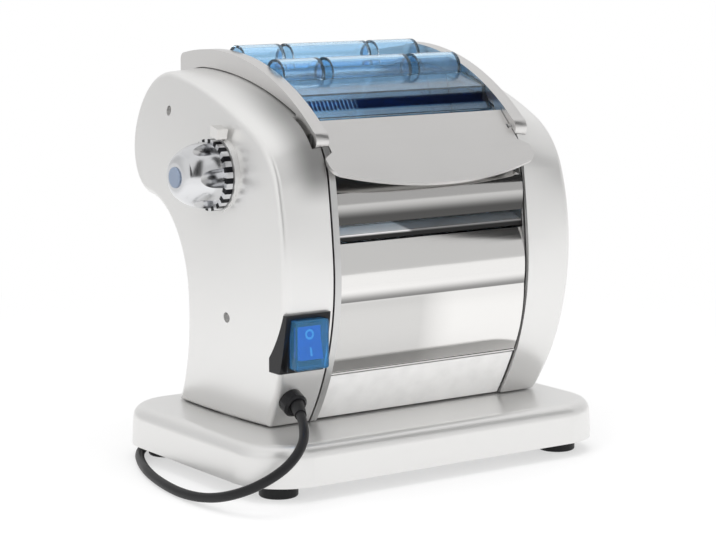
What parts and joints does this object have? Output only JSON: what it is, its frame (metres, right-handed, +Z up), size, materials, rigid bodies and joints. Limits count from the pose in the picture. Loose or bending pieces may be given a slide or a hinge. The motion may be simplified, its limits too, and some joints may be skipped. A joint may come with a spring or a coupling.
{
  "type": "electric pasta maker",
  "caption": "Electric pasta maker: rollers under a guarded feed mouth with a tilting chute, geared motor housing with thickness dial and switch, on a base tray with cord.",
  "frame": {"origin": "on the table under the middle of the base tray, where the feet stand", "axes": "+X along the rollers away from the dial, +Y to the back, +Z up"},
  "size_m": [0.321, 0.3117, 0.284],
  "materials": {
    "silver_paint": "satin silver paint",
    "chrome": "polished chromed sheet",
    "satin_steel": "satin steel",
    "zinc_steel": "zinc-plated steel",
    "roller_steel": "ground and chromed steel",
    "black_rubber": "black rubber",
    "black_plastic": "black moulded plastic",
    "blue_plastic": "translucent blue moulded plastic",
    "rocker_plastic": "blue rocker",
    "knob_chrome": "satin-chromed knob",
    "cap_plastic": "blue-grey cap",
    "gear_plastic": "natural nylon",
    "gear_steel": "cut steel gear",
    "bronze": "sintered bronze bush",
    "motor_paint": "dark enamelled motor",
    "capacitor_plastic": "grey capacitor can",
    "switch_black": "glossy black switch"
  },
  "bodies": {
    "frame_body": {"base_feet": "black_rubber", "base_screws": "zinc_steel", "base_tray": "silver_paint", "chute_pivot_screws": "zinc_steel", "cord_coil": "black_rubber", "cord_gland": "black_plastic", "cord_lead": "black_rubber", "cord_tail": "black_rubber", "cover_screws": "zinc_steel", "dial_pointer": "chrome", "exit_slide": "chrome", "foot_screws": "zinc_steel", "front_cover": "chrome", "gear_axles": "gear_steel", "gear_plate": "zinc_steel", "gear_plate_posts": "zinc_steel", "gear_plate_screws": "zinc_steel", "gland_lock_nut": "black_plastic", "left_hood_arm": "satin_steel", "left_housing": "silver_paint", "left_side_plate": "zinc_steel", "lower_front_plate": "zinc_steel", "mains_plug": "black_plastic", "motor_body": "motor_paint", "motor_capacitor": "capacitor_plastic", "motor_cradle": "zinc_steel", "motor_screws": "zinc_steel", "plug_pins": "zinc_steel", "rear_cover": "chrome", "rear_scraper": "satin_steel", "right_hood_arm": "satin_steel", "right_housing": "silver_paint", "right_side_plate": "zinc_steel", "roller_bushes": "bronze", "safety_guard": "blue_plastic", "spindle_bush": "bronze", "strain_relief": "black_rubber", "switch_bezel": "black_plastic", "switch_body": "switch_black", "switch_splash_cover": "blue_plastic", "tie_rods": "zinc_steel", "upper_front_cover": "chrome"},
    "spindle": {"adjuster_spindle": "gear_steel", "knob_spring": "zinc_steel"},
    "knob": {"thickness_knob": "knob_chrome", "knob_ring": "knob_chrome", "knob_cap": "cap_plastic"},
    "carriage": {"bearing_carriage": "zinc_steel", "carriage_bushes": "bronze", "front_scraper": "satin_steel"},
    "front_roller_body": {"front_roller": "roller_steel", "front_sync_gear": "gear_steel"},
    "rear_roller_body": {"rear_roller": "roller_steel", "rear_sync_gear": "gear_steel", "roller_drive_gear": "gear_plastic"},
    "upper_gear": {"upper_gear_cluster": "gear_plastic"},
    "lower_gear": {"lower_gear_cluster": "gear_plastic"},
    "motor_rotor": {"motor_shaft": "gear_steel"},
    "chute": {"feed_chute": "satin_steel"},
    "rocker": {"switch_rocker": "rocker_plastic"}
  },
  "joints": [
    {"name": "thickness_dial_turn", "type": "hinge", "parent": "frame_body", "child": "spindle", "pos_m": [-0.1, 0.004, 0.203], "axis": [1, 0, 0], "range_deg": [0, 180]},
    {"name": "thickness_dial_pull", "type": "slide", "parent": "spindle", "child": "knob", "axis": [-1, 0, 0], "range_m": [0, 0.004], "stiffness_N_per_m": 1500, "springref_m": -0.003, "deforming": ["knob_spring"]},
    {"name": "nip_adjust_slide", "type": "slide", "parent": "frame_body", "child": "carriage", "axis": [0, 1, 0], "range_m": [0, 0.0022]},
    {"name": "rear_roller_spin", "type": "hinge", "parent": "frame_body", "child": "rear_roller_body", "pos_m": [0, 0.0416, 0.203], "axis": [1, 0, 0], "continuous": true},
    {"name": "front_roller_spin", "type": "hinge", "parent": "carriage", "child": "front_roller_body", "pos_m": [0, 0.004, 0.203], "axis": [1, 0, 0], "continuous": true},
    {"name": "upper_gear_spin", "type": "hinge", "parent": "frame_body", "child": "upper_gear", "pos_m": [-0.08, 0.02963, 0.17011], "axis": [1, 0, 0], "continuous": true},
    {"name": "lower_gear_spin", "type": "hinge", "parent": "frame_body", "child": "lower_gear", "pos_m": [-0.088, 0.01413, 0.14326], "axis": [1, 0, 0], "continuous": true},
    {"name": "motor_spin", "type": "hinge", "parent": "frame_body", "child": "motor_rotor", "pos_m": [-0.08, 0.00968, 0.11157], "axis": [1, 0, 0], "continuous": true},
    {"name": "chute_tilt", "type": "hinge", "parent": "frame_body", "child": "chute", "pos_m": [0.0123, -0.0485, 0.2275], "axis": [-1, 0, 0], "range_deg": [0, 45]},
    {"name": "power_switch_rock", "type": "hinge", "parent": "frame_body", "child": "rocker", "pos_m": [-0.0928, -0.066, 0.0975], "axis": [1, 0, 0], "range_deg": [0, 18]}
  ],
  "couplings": [
    {"joint": "front_roller_spin", "follows": "rear_roller_spin", "ratio": -1},
    {"joint": "upper_gear_spin", "follows": "rear_roller_spin", "ratio": -2.8889},
    {"joint": "lower_gear_spin", "follows": "rear_roller_spin", "ratio": 7.0617},
    {"joint": "motor_spin", "follows": "rear_roller_spin", "ratio": -21.185},
    {"joint": "thickness_dial_turn", "follows": "nip_adjust_slide", "rad_per_m": 1428.6}
  ]
}
